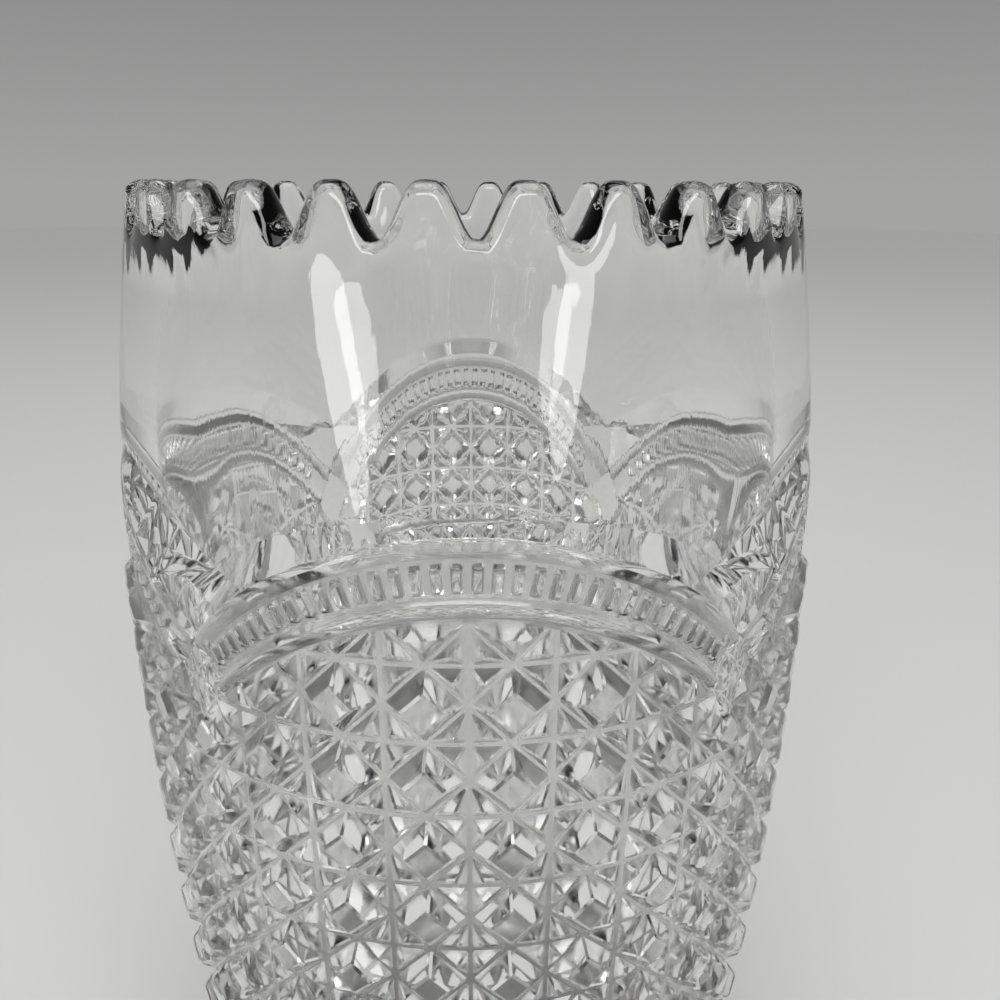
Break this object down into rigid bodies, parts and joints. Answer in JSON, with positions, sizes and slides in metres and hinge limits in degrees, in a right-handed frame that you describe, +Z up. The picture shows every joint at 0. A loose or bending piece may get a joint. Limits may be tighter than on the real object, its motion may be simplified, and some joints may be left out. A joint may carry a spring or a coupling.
{
  "type": "pressed glass vase",
  "caption": "Tall round pressed glass vase with a scalloped rim, a plain band and arched panels of stars and raised diamonds, open at the top on a flat foot.",
  "frame": {"origin": "centre of the foot, on the surface that the vase stands on", "axes": "+Z up along the vase's axis, one arched panel faces -Y"},
  "size_m": [0.1054, 0.1054, 0.17],
  "materials": {
    "clear_glass": "clear, fire-polished, faintly warm"
  },
  "bodies": {
    "root": {"pressed_glass_body": "clear_glass"}
  },
  "joints": []
}
